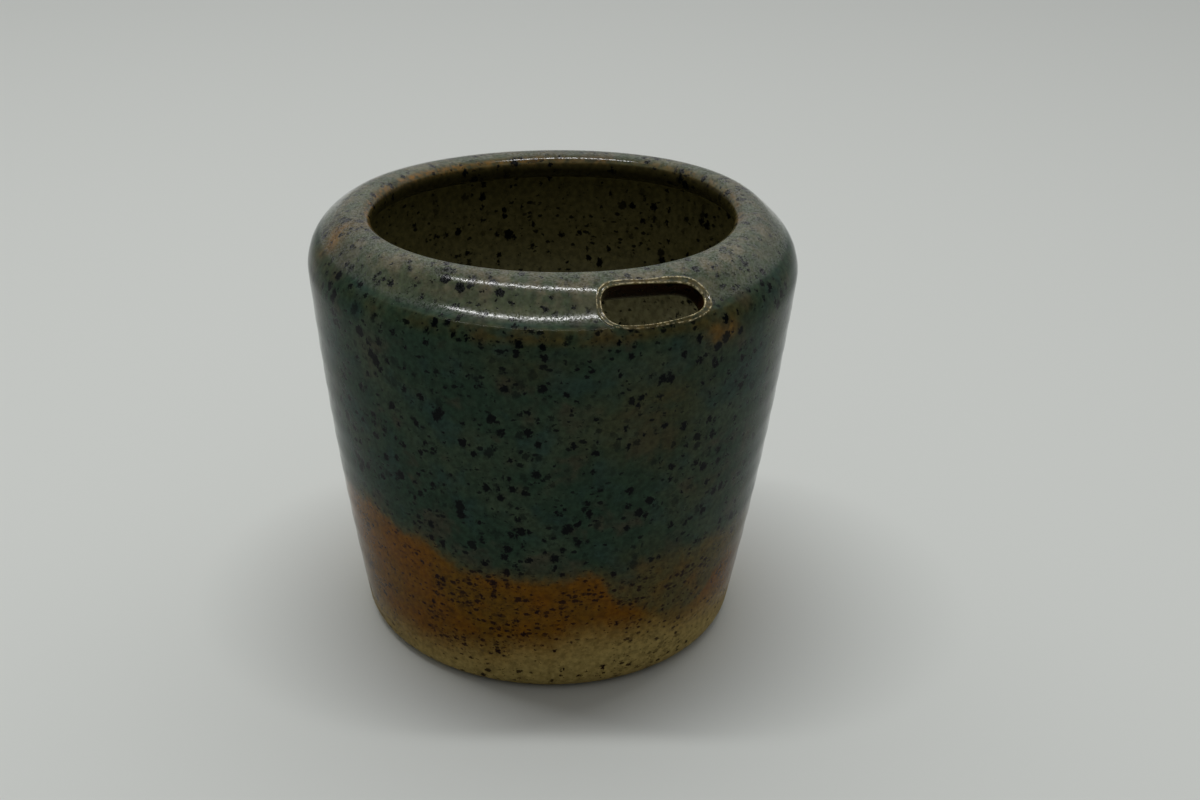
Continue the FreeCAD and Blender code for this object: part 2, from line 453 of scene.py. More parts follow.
def slot_rings(section, slot, outer_border, inner_border):
    """The rings of points that carry the clay from the outside, through the slot, to the inside.

    Each ring is held as places along the shoulder and points on the half section. Outside, rings
    run from the border of the grid over a ridge, height exp(-(offset / width)^2), to the edge,
    where a quarter round turns them into the cut. The cut is straight across the clay, and a
    larger quarter round turns it out on the inside. With the rings comes how much of each point
    is wiped rim, pale crest of the rim (pale glaze with a painted highlight), and cut (dark glaze
    with painted shade).
    """
    angle = np.arctan2(*(outer_border - [slot.drift, slot.middle]).T[::-1])
    edge = slot_outline(slot, angle)
    normal = outline_normal(edge)
    wide = slot.rim_width + slot.rim_spread * np.cos(angle) ** 2 + slot.rim_drift * np.cos(angle)
    level = np.zeros(len(edge))
    rings, shares = [], []

    def outside(place, depth, *share):
        point = section.at(section.outer_walk(place[:, 1]))
        rings.append((place[:, 0], point - section.out_of_clay * depth[:, None]))
        shares.append(share)

    def beside_edge(offset, depth, *share):
        ridge = slot.ridge_height * near(offset, wide, slot.ridge_width)
        outside(edge + normal * offset[:, None], depth - ridge, *share)

    def inside(place, height):
        point = section.at(section.inner_walk(place[:, 1]))
        rings.append((place[:, 0], point + section.out_of_clay * height))

    start = edge + normal * (wide + slot.apron)[:, None]
    for share in FIRST_SHARES:
        outside(outer_border + (start - outer_border) * share, level, 0.0, 0.0, 0.0)
    for share, crest in APRON_RINGS:
        rim = float(smooth_step(1.1 - 1.8 * share))
        beside_edge(wide + slot.apron * share, level, rim, crest, 0.0)
    for share, crest in RIM_RINGS:
        beside_edge(slot.edge_round + (wide - slot.edge_round) * share, level, 1.0, crest, 0.0)
    for turn, crest in zip(np.linspace(0, math.pi / 2, len(EDGE_CRESTS_AND_GLINTS)), EDGE_CRESTS_AND_GLINTS):
        offset = slot.edge_round * (1 - math.sin(turn)) + level
        cut = float(between(turn, math.pi / 4, math.pi / 2))
        beside_edge(offset, slot.edge_round * (1 - math.cos(turn)) + level, 1 - cut, crest, cut)

    top_place, top = rings[-1]
    inner_edge = section.at(section.inner_walk(edge[:, 1]))
    bottom = inner_edge + section.out_of_clay * slot.inner_round
    rings += [(top_place, top + (bottom - top) * share) for share in CUT_DOWN]
    for turn in INNER_TURNS:
        flare = edge + normal * slot.inner_round * (1 - math.cos(turn))
        inside(flare, slot.inner_round * (1 - math.sin(turn)))
    flare = edge + normal * slot.inner_round
    for share in LAST_SHARES:
        inside(flare + (inner_border - flare) * share, 0.0)
    # The cut's colour, dark glaze with painted shade, fades out round the inner edge
    shares += [(0.0, 0.0, cut) for cut in CUT_SHARES]
    shares = np.array(shares).T[:, :, None] * np.ones(len(angle))
    # The pale crest, partly a painted highlight, is painted fullest at the slot's ends
    shares[1] *= slot.crest_and_glint_sides + (1 - slot.crest_and_glint_sides) * np.cos(angle) ** 2
    return rings, shares


def border_cells(first_row):
    """Rows and columns of the grid round one window, walked once anticlockwise."""
    last_row = first_row + SLOT_ROWS
    last_column = FIRST_COLUMN + SLOT_COLUMNS
    rows = np.concatenate([
        np.full(SLOT_COLUMNS, first_row), np.arange(first_row, last_row),
        np.full(SLOT_COLUMNS, last_row), last_row - np.arange(SLOT_ROWS),
    ])
    columns = np.concatenate([
        np.arange(FIRST_COLUMN, last_column), np.full(SLOT_ROWS, last_column),
        last_column - np.arange(SLOT_COLUMNS), np.full(SLOT_ROWS, FIRST_COLUMN),
    ])
    return rows, columns


def photo_degrees(angle):
    """Angles in degrees, as the photograph sees them."""
    return np.degrees(angle + PHOTO_TURN)


def degrees_from(turned, place):
    """How far angles lie round the pot from a place, from -180 to 180 degrees."""
    return (turned - place + 180.0) % 360.0 - 180.0


# How the mouth strays outward and upward: millimetres, as a mean and then the cosines and sines of
# one, two and three times the angle as the photograph sees it
MOUTH_WIDE = (-0.48, -0.23, -0.24, 1.16, 0.81, 0.13, -0.08)
MOUTH_TALL = (0.12, 0.19, -1.0, 0.28, 0.42, 0.02, 0.2)

# Where the throwing rings start and stop, as heights in millimetres, and the two slow waves that
# make them uneven, as a height and a phase
RINGS_START = (6.0, 18.0)
RINGS_STOP = (66.0, 80.0)
RING_WAVES = ((11.0, 2.1), (17.0, -0.6))
WAVE_SHARE = 0.5


def hand_thrown(marks, section, angle, radius, height, inside):
    """Radius and height with the unevenness of the thrown pot.

    Towards the lip the mouth grows out of round by sums of cosines and sines of the angle, up to
    2 mm; a spiral of shallow rings, cos(2 pi height / spacing - angle), runs up the wall.
    """
    turned = angle + PHOTO_TURN
    slope = (radius - section.crease[0]) * section.up_slope[0]
    slope = slope + (height - section.crease[1]) * section.up_slope[1]
    mouth = smooth_step(slope / section.slope[section.peak])
    waves = np.stack([wave(k * turned) for k in (1, 2, 3) for wave in (np.cos, np.sin)], -1)
    wide = waves @ MOUTH_WIDE[1:] + MOUTH_WIDE[0]
    tall = waves @ MOUTH_TALL[1:] + MOUTH_TALL[0]
    spiral = np.cos(2 * math.pi * height / marks.ring_spacing - angle)
    drift = sum(np.cos(height / (spread * MM) + phase) for spread, phase in RING_WAVES)
    ring = marks.ring_height * inside + marks.wall_ring_height * (1 - inside)
    ring = ring * between(height / MM, *RINGS_START) * (1 - between(height / MM, *RINGS_STOP))
    radius = radius + MM * wide * mouth + ring * (spiral + WAVE_SHARE * drift)
    return radius, height + MM * tall * mouth


def line_height(points, turned):
    """A smooth closed line round the pot through (angle, height) points, by eased steps."""
    turned = degrees_from(turned, 0.0)
    places = np.array(points)
    places = np.vstack([places[-1] - [360, 0], places, places[0] + [360, 0]])
    index = np.clip(np.searchsorted(places[:, 0], turned) - 1, 0, len(places) - 2)
    low, high = places[index], places[index + 1]
    return low[:, 1] + (high[:, 1] - low[:, 1]) * between(turned, low[:, 0], high[:, 0])


# Lines of the glaze, as angles in degrees as the photograph sees them, and heights in millimetres.
# Where the green glaze ends
GREEN_LINE = (
    (-170, 33.5), (-145, 36.0), (-126, 33.5), (-108, 29.2), (-96, 28.6), (-79, 29.8), (-69, 21.0),
    (-54, 15.2), (-45, 15.0), (-36, 20.5), (-22, 21.5), (5, 26.0), (30, 19.0), (48, 23.5),
    (80, 31.0), (108, 25.0), (125, 27.5), (150, 36.5),
)
# Where the thick glaze ends, and the green runs thin and olive
THICK_LINE = (
    (-170, 34.5), (-145, 37.0), (-126, 34.5), (-108, 30.2), (-96, 29.6), (-79, 30.8), (-69, 27.5),
    (-60, 30.0), (-45, 31.0), (-36, 30.0), (-22, 30.5), (5, 30.0), (30, 27.0), (48, 28.5),
    (80, 33.0), (108, 30.0), (125, 32.5), (150, 38.5),
)
# Where the amber gives way to buff clay
BUFF_LINE = (
    (-157, 5.0), (-130, 6.0), (-112, 8.0), (-94, 10.5), (-78, 13.0), (-60, 13.0), (-42, 10.5),
    (-20, 8.0), (20, 6.0), (60, 9.0), (100, 6.0), (150, 7.5),
)
# Clouds in the glaze: angle, height, half width and half height in degrees and millimetres, and
# strength. The warm ones are brown or tan, and the deep ones are thick and dark on the shoulder.
WARM_CLOUDS = (
    (-161, 86.0, 9, 4.0, 1.0), (-51, 79.6, 8, 4.0, 1.0), (-64, 69.0, 13, 6.5, 0.62),
    (-95, 76.5, 9, 3.5, 0.55), (-62, 58.0, 9, 6.0, 0.5), (-78, 62.0, 8, 7.0, 0.35),
    (-50, 45.0, 10, 6.0, 0.35), (60, 72.0, 16, 7.0, 0.7), (128, 66.0, 10, 9.0, 0.5),
    (-65, 30.0, 9, 6.0, 0.75), (-50, 22.0, 10, 6.0, 0.5), (20, 58.0, 12, 6.0, 0.45),
    (95, 86.0, 14, 4.0, 0.8), (170, 60.0, 10, 8.0, 0.4),
)
DEEP_CLOUDS = (
    (-118, 83.0, 12, 2.4, 0.9), (-145, 84.0, 12, 3.0, 0.4), (-20, 85.0, 10, 3.0, 0.5),
    (75, 85.0, 16, 4.0, 0.7), (140, 84.0, 12, 3.5, 0.6),
)

# Marks of the glaze, and of the painted shade under the lip and high on the inside wall, in
# millimetres walked past the top of the lip or past the crease, up the shoulder, or in height. A
# pair is the start and end of a step, or the middle and width of a bell.
INSIDE_GLAZE = (2.3, 3.0)
# Painted shade just under the lip's inner edge: where it sets in, and where it fades out
UNDER_LIP_SHADE = (2.4, 3.0)
UNDER_LIP_SHADE_FADES = (5.0, 11.0)
LIP_EDGE = (2.1, 0.8)
BROW = (-3.0, 4.0)
CREASE_BAND = (-1.5, 1.3)
CREASE_LINE = (0.0, 0.5)
SHOULDER = (0.5, 3.0)
UNDERSIDE = (0.0, 6.0)
# Painted shade high on the inside wall: the heights over which it sets in
INSIDE_SHADE_HEIGHTS = (44.0, 68.0)
# The strength that two of them have all the way round, and where they are stronger: how much, at
# what angle and over what half width, in degrees
BAND_EVERYWHERE = 0.1
BAND_PLACES = ((0.6, -92.0, 34.0), (0.3, -55.0, 12.0))
LIP_EVERYWHERE = 0.4
LIP_PLACES = ((0.6, 150.0, 55.0),)


def clouds(places, turned, height):
    """The sum of bells about the places, at most 1."""
    total = np.zeros(len(turned))
    for place, level, wide, tall, strength in places:
        beside = near(degrees_from(turned, place), 0.0, wide)
        total = total + strength * beside * near(height, level, tall)
    return np.minimum(total, 1.0)


def strength_round(everywhere, places, turned):
    """A strength round the pot: one value everywhere, and bells about the places."""
    for strength, place, wide in places:
        everywhere = everywhere + strength * near(degrees_from(turned, place), 0.0, wide)
    return everywhere


def surface_marks(section, turned, walked, height):
    """The named values that the glaze reads at each vertex.

    A line's value is the height over it in millimetres. The others are shares, by bells about a
    place and smooth steps.
    """
    past_lip = (walked - section.lip_walk) / MM
    past_crease = (walked - section.crease_walk) / MM
    inside = between(past_lip, *INSIDE_GLAZE)
    outside = 1 - inside
    band = near(past_crease, *CREASE_BAND) + 0.5 * near(past_crease, *CREASE_LINE)
    band = band * strength_round(BAND_EVERYWHERE, BAND_PLACES, turned)
    return {
        "above_green_line": height - line_height(GREEN_LINE, turned),
        "above_thick_line": height - line_height(THICK_LINE, turned),
        "above_buff_line": height - line_height(BUFF_LINE, turned),
        "warm_cloud": clouds(WARM_CLOUDS, turned, height) * outside,
        "deep_cloud": clouds(DEEP_CLOUDS, turned, height) * outside,
        "crease_band": band * outside,
        "shoulder": between(section.slope_at(walked) / MM, *SHOULDER) * outside,
        "lip_edge": near(past_lip, *LIP_EDGE) * strength_round(LIP_EVERYWHERE, LIP_PLACES, turned),
        "brow": near(past_lip, *BROW) * outside,
        # Painted shade on the inside just below the lip
        "under_lip": between(past_lip, *UNDER_LIP_SHADE) * (1 - between(past_lip, *UNDER_LIP_SHADE_FADES)),
        # Painted shade high on the inside wall
        "inner_height_shade": between(height, *INSIDE_SHADE_HEIGHTS),
        "inside": inside,
        "underside": 1 - between((walked - section.ring_walk) / MM, *UNDERSIDE),
    }


# How far from the slot the section gives way to the one at the sides, and then to the one at the
# back, in degrees
SLOT_SEEN_AT = -88.0
TO_SIDES = (28.0, 58.0)
TO_BACK = (110.0, 155.0)


def away_from_slot(shape, section, turned, walked):
    """How far the points of the slot's section move to the fuller and steeper ones round the pot.

    With s and b the smooth steps to the sides and to the back, a point moves by
    s (side point - its own) + b (back point - side point), each at the same share of its piece.
    """
    away = abs(degrees_from(turned, SLOT_SEEN_AT))
    sides = HalfSection(shape, shape.full_brow_drop, shape.soft_crease_reach)
    back = HalfSection(shape, shape.rear_brow_drop, shape.soft_crease_reach)
    side_point = sides.at(section.matching(sides, walked))
    back_point = back.at(section.matching(back, walked))
    move = (side_point - section.at(walked)) * between(away, *TO_SIDES)[:, None]
    return move + (back_point - side_point) * between(away, *TO_BACK)[:, None]


def grid_rows(section):
    """Lengths walked to every row of the grid, and the first row of each of its two windows."""
    low, high = section.outer_walk(WINDOW)
    inner_low, inner_high = section.inner_walk(INNER_WINDOW)
    stretches = [
        section.rows(0.0, low), section.rows(low, high, SLOT_ROWS), section.rows(high, inner_high),
        section.rows(inner_high, inner_low, SLOT_ROWS), section.rows(inner_low, section.walk[-1]),
    ]
    walked = np.concatenate([stretch[:-1] for stretch in stretches] + [stretches[-1][-1:]])
    outer_row = len(stretches[0]) - 1
    return walked, outer_row, outer_row + SLOT_ROWS + len(stretches[2]) - 1


def cell(row, column):
    """The vertex of the grid in a row and a column; row 0 is the single point before row 1."""
    return 1 + (row - 1) * COLUMNS + column % COLUMNS


def grid_faces(row_count, first_rows):
    """The quads of the grid outside its two windows."""
    rows, turns = np.meshgrid(np.arange(1, row_count - 2), np.arange(COLUMNS), indexing="ij")
    in_columns = (turns - FIRST_COLUMN) % COLUMNS < SLOT_COLUMNS
    in_rows = np.any([(rows >= first) & (rows < first + SLOT_ROWS) for first in first_rows], axis=0)
    kept = ~(in_columns & in_rows)
    row, turn = rows[kept], turns[kept]
    corners = [cell(row, turn), cell(row, turn + 1), cell(row + 1, turn + 1), cell(row + 1, turn)]
    return np.stack(corners, -1)


def ring_faces(first_point, ring_count, outer_cells, inner_cells):
    """The quads of the slot, between the border of one window, the rings and the other border."""
    around = len(outer_cells)
    rings = first_point + np.arange(ring_count * around).reshape(ring_count, around)
    strips = np.vstack([outer_cells, rings, inner_cells])
    ahead = np.roll(strips, -1, axis=1)
    return np.stack([strips[:-1], ahead[:-1], ahead[1:], strips[1:]], -1).reshape(-1, 4)


def end_faces(row_count, last_point):
    """The triangles round the single points in the middle of the underside and of the floor."""
    around = np.arange(COLUMNS)
    end_row = row_count - 2
    first, last = np.zeros(COLUMNS, int), np.full(COLUMNS, last_point)
    underside = np.stack([first, cell(1, around + 1), cell(1, around)], -1)
    floor = np.stack([last, cell(end_row, around), cell(end_row, around + 1)], -1)
    return np.concatenate([underside, floor])


def build_pot(shape, slot, marks):
    """The whole skin of the pot as one closed mesh.

    The point in row w and column j is the half section at the length walked w, turned by
    2 pi j / COLUMNS about the axis. The section is the slot's own; away from the slot its points
    move to those of a fuller one at the sides and a steeper one at the back. A window of cells on
    each side of the shoulder is left out and closed by the rings of the drinking slot. The rows at
    the two ends are single points.
    """
    section = HalfSection(shape, shape.brow_drop, shape.crease_reach)
    walked, outer_row, inner_row = grid_rows(section)
    outline = section.at(walked)
    column_angle = slot.direction + 2 * math.pi * np.arange(COLUMNS) / COLUMNS
    grid_walk = np.repeat(walked[1:-1], COLUMNS)
    grid_point = np.repeat(outline[1:-1], COLUMNS, axis=0)
    grid_angle = np.tile(column_angle, len(walked) - 2)

    slot_radius = section.crease[0] + section.up_slope[0] * slot.middle
    step = slot_radius * 2 * math.pi / COLUMNS
    outer_rows, columns = border_cells(outer_row)
    inner_rows = inner_row + SLOT_ROWS - (outer_rows - outer_row)
    slope = (outline - section.crease) @ section.up_slope
    outer_border = np.stack([columns * step, slope[outer_rows]], -1)
    inner_border = np.stack([columns * step, slope[inner_rows]], -1)
    rings, shares = slot_rings(section, slot, outer_border, inner_border)
    slot_angle = slot.direction + np.concatenate([ring[0] for ring in rings]) / slot_radius
    slot_point = np.concatenate([ring[1] for ring in rings])
    outside = np.repeat(np.arange(len(rings)) < OUTSIDE_RINGS, len(columns))
    slot_slope = (slot_point - section.crease) @ section.up_slope
    slot_walk = np.where(outside, section.outer_walk(slot_slope), section.inner_walk(slot_slope))

    angle = np.concatenate([[0.0], grid_angle, slot_angle, [0.0]])
    turned = photo_degrees(angle)
    point = np.concatenate([outline[:1], grid_point, slot_point, outline[-1:]])
    walk = np.concatenate([walked[:1], grid_walk, slot_walk, walked[-1:]])
    values = surface_marks(section, turned, walk, point[:, 1] / MM)
    # The crest carries a painted highlight, and the cut painted shade
    for name, share in zip(("slot_rim", "slot_crest_and_glint", "slot_cut_and_shade"), shares):
        values[name] = np.concatenate([np.zeros(1 + len(grid_walk)), share.ravel(), [0.0]])
    point = point + away_from_slot(shape, section, turned, walk)
    radius, height = hand_thrown(marks, section, angle, point[:, 0], point[:, 1], values["inside"])
    places = np.stack([radius * np.cos(angle), radius * np.sin(angle), height], -1)

    outer_cells, inner_cells = cell(outer_rows, columns), cell(inner_rows, columns)
    quads = np.concatenate([
        grid_faces(len(walked), (outer_row, inner_row)),
        ring_faces(1 + len(grid_walk), len(rings), outer_cells, inner_cells),
    ])
    return places, quads, end_faces(len(walked), len(places) - 1), values


def new_mesh(name, places, quads, triangles):
    """A smooth mesh object from whole arrays of places and faces."""
    mesh = bpy.data.meshes.new(name)
    corners = np.concatenate([quads.ravel(), triangles.ravel()]).astype(np.int32)
    sizes = np.concatenate([np.full(len(quads), 4), np.full(len(triangles), 3)])
    starts = np.concatenate([[0], np.cumsum(sizes)[:-1]]).astype(np.int32)
    mesh.vertices.add(len(places))
    mesh.vertices.foreach_set("co", places.astype(np.float32).ravel())
    mesh.loops.add(len(corners))
    mesh.loops.foreach_set("vertex_index", corners)
    mesh.polygons.add(len(sizes))
    mesh.polygons.foreach_set("loop_start", starts)
    mesh.polygons.foreach_set("use_smooth", np.ones(len(sizes), bool))
    mesh.update(calc_edges=True)
    if mesh.validate():
        raise RuntimeError(f"the mesh {name} had faulty faces")
    thing = bpy.data.objects.new(name, mesh)
    bpy.context.scene.collection.objects.link(thing)
    return thing


class Wiring:
    """Short calls that add nodes to one tree and join them."""

    def __init__(self, tree):
        self.tree = tree

    def fill(self, socket, value):
        """Links a socket, or sets its value."""
        if isinstance(value, bpy.types.NodeSocket):
            self.tree.links.new(value, socket)
        else:
            socket.default_value = value

    def add(self, kind, inputs=None, **settings):
        """A node with its settings, and its inputs by name or number."""
        node = self.tree.nodes.new(kind)
        for name, value in settings.items():
            setattr(node, name, value)
        for name, value in (inputs or {}).items():
            self.fill(node.inputs[name], value)
        return node

    def math(self, operation, first, second=0.0):
        """A number worked out from two."""
        return self.add("ShaderNodeMath", {0: first, 1: second}, operation=operation).outputs[0]

    def times(self, first, *others):
        """The product of masks and numbers."""
        for other in others:
            first = self.math("MULTIPLY", first, other)
        return first

    def rest(self, mask):
        """What a mask leaves: 1 - mask."""
        return self.math("SUBTRACT", 1.0, mask)

    def vector(self, operation, first, second):
        """A place worked out from two, or from a place and a scale."""
        name = "Scale" if operation == "SCALE" else 1
        node = self.add("ShaderNodeVectorMath", {0: first, name: second}, operation=operation)
        return node.outputs[0]

    def mix(self, share, first, second, blend="MIX"):
        """The second colour over the first, by a share."""
        node = self.add("ShaderNodeMix", {0: share}, data_type="RGBA", blend_type=blend)
        self.fill(node.inputs[6], first)
        self.fill(node.inputs[7], second)
        return node.outputs[2]

    def ease(self, value, low, high, start=0.0, end=1.0):
        """Start below low, end above high, and an eased step between."""
        inputs = {"Value": value, "From Min": low, "From Max": high, "To Min": start, "To Max": end}
        return self.add("ShaderNodeMapRange", inputs, interpolation_type="SMOOTHSTEP").outputs[0]

    def noise(self, place, size, detail=2.0, output="Fac"):
        """Noise whose blotches are about one size across, in the units of the place."""
        inputs = {"Vector": place, "Scale": 1.0 / size, "Detail": detail, "Roughness": 0.55}
        return self.add("ShaderNodeTexNoise", inputs).outputs[output]

    def mark(self, name):
        """A named value of the mesh."""
        return self.add("ShaderNodeAttribute", attribute_name=name).outputs["Fac"]

    def group(self, tree, inputs):
        """A node group with its inputs."""
        node = self.add("ShaderNodeGroup", node_tree=tree)
        for name, value in inputs.items():
            self.fill(node.inputs[name], value)
        return node.outputs


NUMBER = "NodeSocketFloat"
VECTOR = "NodeSocketVector"
MIDDLE_GREY = (0.5, 0.5, 0.5)


def new_group(name, inputs, outputs):
    """An empty shader node group with named sockets; inputs hold a kind and a default."""
    tree = bpy.data.node_groups.new(name, "ShaderNodeTree")
    for socket, (kind, default) in inputs.items():
        made = tree.interface.new_socket(socket, in_out="INPUT", socket_type=kind)
        if default is not None:
            made.default_value = default
    for socket in outputs:
        tree.interface.new_socket(socket, in_out="OUTPUT", socket_type=NUMBER)
    wiring = Wiring(tree)
    return tree, wiring, wiring.add("NodeGroupInput").outputs, wiring.add("NodeGroupOutput").inputs


def iron_specks():
    """Iron specks that bleed into the glaze: a ragged ball in each cell of a loose lattice.

    Two noises bend the place before the lattice is read. The ball's radius, whether it is there
    and how dark it is come from the cell's own random colour, and slow noise gathers the larger
    ones into drifts.
    """
    tree, w, given, out = new_group(
        "iron_specks",
        {
            "Place": (VECTOR, None), "Spacing": (NUMBER, 2.2), "Share": (NUMBER, 0.6),
            "Smallest": (NUMBER, 0.15), "Largest": (NUMBER, 0.8), "Ragged": (NUMBER, 0.4),
        },
        ("Speck", "Halo"),
    )

    def stray(size, detail, strength):
        bend = w.vector("SUBTRACT", w.noise(given["Place"], size, detail, "Color"), MIDDLE_GREY)
        return w.vector("SCALE", bend, strength)

    place = w.vector("ADD", given["Place"], stray(0.6, 2.0, given["Ragged"]))
    place = w.vector("ADD", place, stray(0.28, 1.0, 0.5))
    scale = w.math("DIVIDE", 1.0, given["Spacing"])
    cells = w.add("ShaderNodeTexVoronoi", {"Vector": place, "Scale": scale}).outputs
    distance = w.times(cells["Distance"], given["Spacing"])
    chance = w.add("ShaderNodeSeparateColor", {0: cells["Color"]}).outputs
    size = w.math("POWER", chance["Red"], 1.4)
    radius = w.ease(size, 0.0, 1.0, given["Smallest"], given["Largest"])
    radius = w.times(radius, w.ease(w.noise(given["Place"], 11.0, 1.0), 0.3, 0.7, 0.6, 1.25))
    speck = w.ease(distance, w.times(radius, 0.72), w.times(radius, 1.08), 1.0, 0.0)
    halo = w.ease(distance, w.times(radius, 0.7), w.times(radius, 2.0), 1.0, 0.0)
    there = w.math("LESS_THAN", chance["Green"], given["Share"])
    there = w.times(there, w.ease(chance["Blue"], 0.15, 0.4, 0.45, 1.0))
    w.fill(out["Speck"], w.times(speck, there))
    w.fill(out["Halo"], w.times(halo, there))
    return tree


def ragged_line():
    """A mask that turns from 0 to 1 across a line of the glaze, with a wandering soft edge."""
    tree, w, given, out = new_group(
        "ragged_line",
        {
            "Height": (NUMBER, 0.0), "Place": (VECTOR, None),
            "Wander": (NUMBER, 2.0), "Softness": (NUMBER, 1.5),
        },
        ("Mask",),
    )
    broad = w.math("SUBTRACT", w.noise(given["Place"], 7.0, 2.0), 0.5)
    fine = w.math("SUBTRACT", w.noise(given["Place"], 1.3, 2.0), 0.5)
    stray = w.math("ADD", w.times(broad, 1.4), w.times(fine, 0.7))
    height = w.math("ADD", given["Height"], w.times(stray, given["Wander"]))
    w.fill(out["Mask"], w.ease(height, w.times(given["Softness"], -1.0), given["Softness"]))
    return tree


def glaze_relief():
    """Height of the fired glaze, in millimetres: a slow orange peel with a fine grain on it."""
    tree, w, given, out = new_group(
        "glaze_relief", {"Place": (VECTOR, None), "Grain": (NUMBER, 1.0)}, ("Height",)
    )
    peel = w.times(w.noise(given["Place"], 2.6, 1.0), 0.014)
    grain = w.times(w.noise(given["Place"], 0.32, 2.0), 0.006)
    w.fill(out["Height"], w.math("ADD", peel, w.times(grain, given["Grain"])))
    return tree


# Drifts of the glaze: the size of their blotches, in millimetres. The patches are moved, so that
# they don't fall where the clouds do.
CLOUD_SIZE = 16.0
PATCH_SIZE = 11.0
PATCH_MOVE = (40.0, 0.0, 17.0)
MOTTLE_SIZE = 4.0
FINE_SIZE = 1.1
CREST_GRAIN = 0.5
SPARKLE_GRAIN = 0.35

# How far each line of the glaze wanders, and half the height over which it fades, in millimetres
BUFF_EDGE = {"Wander": 3.4, "Softness": 6.5}
GREEN_EDGE = {"Wander": 3.4, "Softness": 1.8}
THICK_EDGE = {"Wander": 4.5, "Softness": 3.5}

# Iron specks of three sizes, in millimetres. The coarse ones are drawn out upwards a little, and
# the others are flattened.
COARSE_SPECKS = {"Spacing": 1.9, "Smallest": 0.22, "Ragged": 1.5}
SMALL_SPECKS = {"Spacing": 1.25, "Smallest": 0.18, "Largest": 0.74, "Ragged": 1.0}
DUST_SPECKS = {"Spacing": 0.6, "Smallest": 0.08, "Largest": 0.22, "Ragged": 0.2}
COARSE_STRETCH = (1.0, 1.0, 0.86)
SMALL_STRETCH = (1.0, 1.0, 1.5)
PIT_DEPTH = 0.012


def green_glaze(w, paint, cloud, patch, mottle):
    """The thick green, thinner on the shoulder, with blue, brown, tan and ochre drifts."""
    shoulder, deep, warm = (w.mark(name) for name in ("shoulder", "deep_cloud", "warm_cloud"))
    thin = w.math("ADD", w.ease(cloud, 0.42, 0.66, 0.0, 0.35), w.times(shoulder, 0.65))
    thin = w.times(thin, w.ease(deep, 0.0, 1.0, 1.0, 0.25))
    green = w.mix(thin, paint["deep_green"], paint["grey_green"])
    cool = w.times(w.ease(patch, 0.5, 0.64, 0.0, 0.7), w.rest(shoulder))
    green = w.mix(cool, green, paint["blue_green"])
    brown = w.times(w.ease(patch, 0.36, 0.48, 0.8, 0.0), w.ease(mottle, 0.35, 0.65, 0.3, 1.0))
    green = w.mix(brown, green, paint["brown_green"])
    thinned = w.times(w.mark("brow"), w.ease(mottle, 0.42, 0.62, 0.0, 0.75))
    thinned = w.times(thinned, w.ease(deep, 0.0, 1.0, 1.0, 0.4))
    green = w.mix(thinned, green, paint["warm_grey"])
    warmest = w.mix(w.ease(warm, 0.5, 1.0, 0.0, 0.7), paint["olive"], paint["tan"])
    green = w.mix(w.times(warm, w.ease(mottle, 0.3, 0.6, 0.45, 1.0)), green, warmest)
    band = w.times(w.mark("crease_band"), w.ease(mottle, 0.35, 0.6, 0.3, 1.0))
    return w.mix(band, green, paint["ochre"])


def foot_glaze(w, paint, place, cloud, mottle):
    """The outside under the thick green: buff clay, amber over it, and green run thin.

    With its colour come the masks of the amber and of the thick green.
    """
    line = ragged_line()

    def above(mark, edge):
        return w.group(line, {"Height": w.mark(mark), "Place": place, **edge})["Mask"]

    amber = w.mix(w.ease(cloud, 0.4, 0.62), paint["amber"], paint["dull_amber"])
    amber = w.mix(w.ease(mottle, 0.45, 0.7, 0.0, 0.5), amber, paint["amber"])
    amber_mask = above("above_buff_line", BUFF_EDGE)
    low = w.mix(amber_mask, paint["buff"], amber)
    green_mask = above("above_green_line", GREEN_EDGE)
    veil = w.times(green_mask, w.ease(mottle, 0.3, 0.6, 0.55, 0.9))
    low = w.mix(veil, low, paint["thin_green"])
    return low, amber_mask, w.times(green_mask, above("above_thick_line", THICK_EDGE))


def inside_and_edges(w, paint, place, outer, mottle, fine):
    """The outside's colour, and over it the inside with painted shade high up and under the lip,
    the lip, the slot's rim with a painted highlight on its crest, its cut with painted shade, and
    the underside.
    """
    # Painted shade: the inside is lighter deep down and darker high up
    inner = w.mix(w.mark("inner_height_shade"), paint["inside"], paint["inside_dark"])
    # Painted shade: a dark band just under the lip
    inner = w.mix(w.times(w.mark("under_lip"), 0.92), inner, paint["under_lip"])
    base = w.mix(w.mark("inside"), outer, inner)
    edge = w.times(w.mark("lip_edge"), w.ease(fine, 0.35, 0.6, 0.15, 1.0))
    edge = w.times(edge, w.ease(mottle, 0.35, 0.6, 0.4, 1.0))
    rim = w.times(w.mark("slot_rim"), w.ease(fine, 0.35, 0.62, 0.1, 0.6))
    grain = w.ease(w.noise(place, CREST_GRAIN), 0.44, 0.6, 0.05, 1.0)
    # The slot's crest is pale glaze with a painted highlight, and its cut dark glaze with painted
    # shade
    for share, finish in (
        (edge, "tan"), (rim, "rim_tan"), (w.times(w.mark("slot_crest_and_glint"), grain), "crest"),
        (w.mark("slot_cut_and_shade"), "cut_face_and_shade"), (w.mark("underside"), "buff"),
    ):
        base = w.mix(share, base, paint[finish])
    shade = w.ease(fine, 0.25, 0.75, 0.7, 1.3)
    shade = w.add("ShaderNodeCombineColor", {0: shade, 1: shade, 2: shade}).outputs[0]
    return w.mix(1.0, base, shade, "MULTIPLY")


